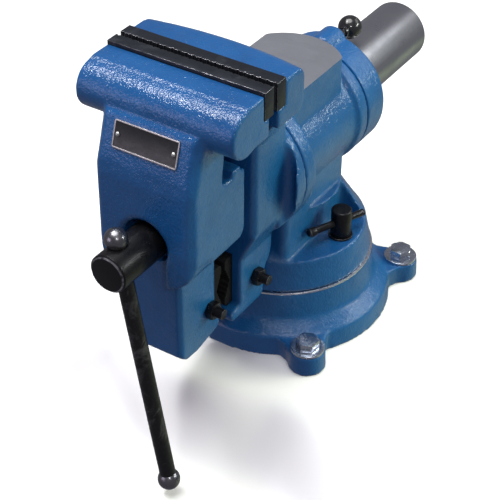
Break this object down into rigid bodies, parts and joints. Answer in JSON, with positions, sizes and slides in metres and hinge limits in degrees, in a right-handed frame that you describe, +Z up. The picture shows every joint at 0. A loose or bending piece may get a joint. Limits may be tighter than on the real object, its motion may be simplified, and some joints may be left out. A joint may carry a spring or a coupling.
{
  "type": "bench vise",
  "caption": "Bench vise with flat jaws above and pipe jaws below, a round slide tube, a head that turns about the slide, an anvil and a swivel base.",
  "frame": {"origin": "on the swivel axis, in the bench face under the base", "axes": "+Z up along the swivel axis, +Y from the jaws to the rear end of the slide tube, +X to the right of a person at the handle"},
  "size_m": [0.2128, 0.488, 0.3684],
  "materials": {
    "blue_enamel": "glossy cast enamel",
    "bare_ring": "machined",
    "zinc": "bright zinc plate",
    "black_oxide": "black oxide, light wear",
    "slide_steel": "ground, satin",
    "jaw_steel": "dark hardened steel",
    "pipe_jaw_black": "matt black",
    "nut_bronze": "machined bronze",
    "plain_steel": "machined",
    "knob_black": "glossy",
    "plate_metal": "satin"
  },
  "bodies": {
    "base": {"base_plate": "blue_enamel", "swivel_ring": "bare_ring", "mounting_bolts": "zinc", "mounting_washers": "zinc"},
    "body": {"swivel_body": "blue_enamel", "pivot_bolt": "plain_steel", "pivot_washer": "plain_steel", "right_lock_bolt": "plain_steel", "left_lock_bolt": "plain_steel", "lock_washers": "black_oxide"},
    "right_nut": {"right_lock_nut": "black_oxide"},
    "left_nut": {"left_lock_nut": "black_oxide"},
    "right_bar": {"right_lock_bar": "black_oxide"},
    "left_bar": {"left_lock_bar": "black_oxide"},
    "head": {"static_jaw": "blue_enamel", "rear_ring": "blue_enamel", "ring_set_screws": "black_oxide", "rear_jaw_insert": "jaw_steel", "rear_insert_screws": "black_oxide", "rear_pipe_jaw": "pipe_jaw_black", "rear_pipe_jaw_bolt": "black_oxide", "rear_pipe_jaw_nut": "black_oxide", "spindle_nut": "nut_bronze", "spindle_nut_screw": "black_oxide"},
    "index_plunger": {"index_pin": "plain_steel", "index_knob": "knob_black"},
    "moving_jaw": {"front_jaw": "blue_enamel", "slide_tube": "slide_steel", "tube_pins": "plain_steel", "tube_end_cap": "plain_steel", "front_jaw_insert": "jaw_steel", "front_insert_screws": "black_oxide", "front_pipe_jaw": "pipe_jaw_black", "front_pipe_jaw_bolt": "black_oxide", "front_pipe_jaw_nut": "black_oxide", "name_plate": "plate_metal", "name_plate_rivets": "plate_metal", "thrust_washer": "plain_steel"},
    "spindle": {"spindle": "black_oxide", "spindle_collar": "plain_steel", "collar_pin": "plain_steel"},
    "handle": {"handle_bar": "black_oxide", "handle_ball_upper": "black_oxide", "handle_ball_lower": "black_oxide"}
  },
  "joints": [
    {"name": "base_swivel", "type": "hinge", "parent": "base", "child": "body", "pos_m": [0, 0, 0.058], "axis": [0, 0, 1], "continuous": true},
    {"name": "head_turn", "type": "hinge", "parent": "body", "child": "head", "pos_m": [0, 0, 0.186], "axis": [0, 1, 0], "continuous": true},
    {"name": "jaw_travel", "type": "slide", "parent": "head", "child": "moving_jaw", "axis": [0, -1, 0], "range_m": [-0.005, 0.145]},
    {"name": "spindle_turn", "type": "hinge", "parent": "moving_jaw", "child": "spindle", "pos_m": [0, -0.2, 0.186], "axis": [0, -1, 0], "range_deg": [-299.9, 8699.9]},
    {"name": "handle_slide", "type": "slide", "parent": "spindle", "child": "handle", "axis": [-0.1788, 0, 0.9839], "range_m": [0, 0.202]},
    {"name": "index_pull", "type": "slide", "parent": "head", "child": "index_plunger", "axis": [0, 1, 0], "range_m": [0, 0.011], "stiffness_N_per_m": 500, "springref_m": -0.01},
    {"name": "right_lock_turn", "type": "hinge", "parent": "body", "child": "right_nut", "pos_m": [0.0637, 0, 0.1], "axis": [0, 0, 1], "range_deg": [0, 30]},
    {"name": "left_lock_turn", "type": "hinge", "parent": "body", "child": "left_nut", "pos_m": [-0.0637, 0, 0.1], "axis": [0, 0, 1], "range_deg": [-30, 0]},
    {"name": "right_bar_slide", "type": "slide", "parent": "right_nut", "child": "right_bar", "axis": [0.4003, 0.9164, 0], "range_m": [0, 0.008]},
    {"name": "left_bar_slide", "type": "slide", "parent": "left_nut", "child": "left_bar", "axis": [-0.4003, 0.9164, 0], "range_m": [0, 0.008]}
  ],
  "couplings": [
    {"joint": "jaw_travel", "follows": "spindle_turn", "m_per_rad": 0.00095493}
  ]
}
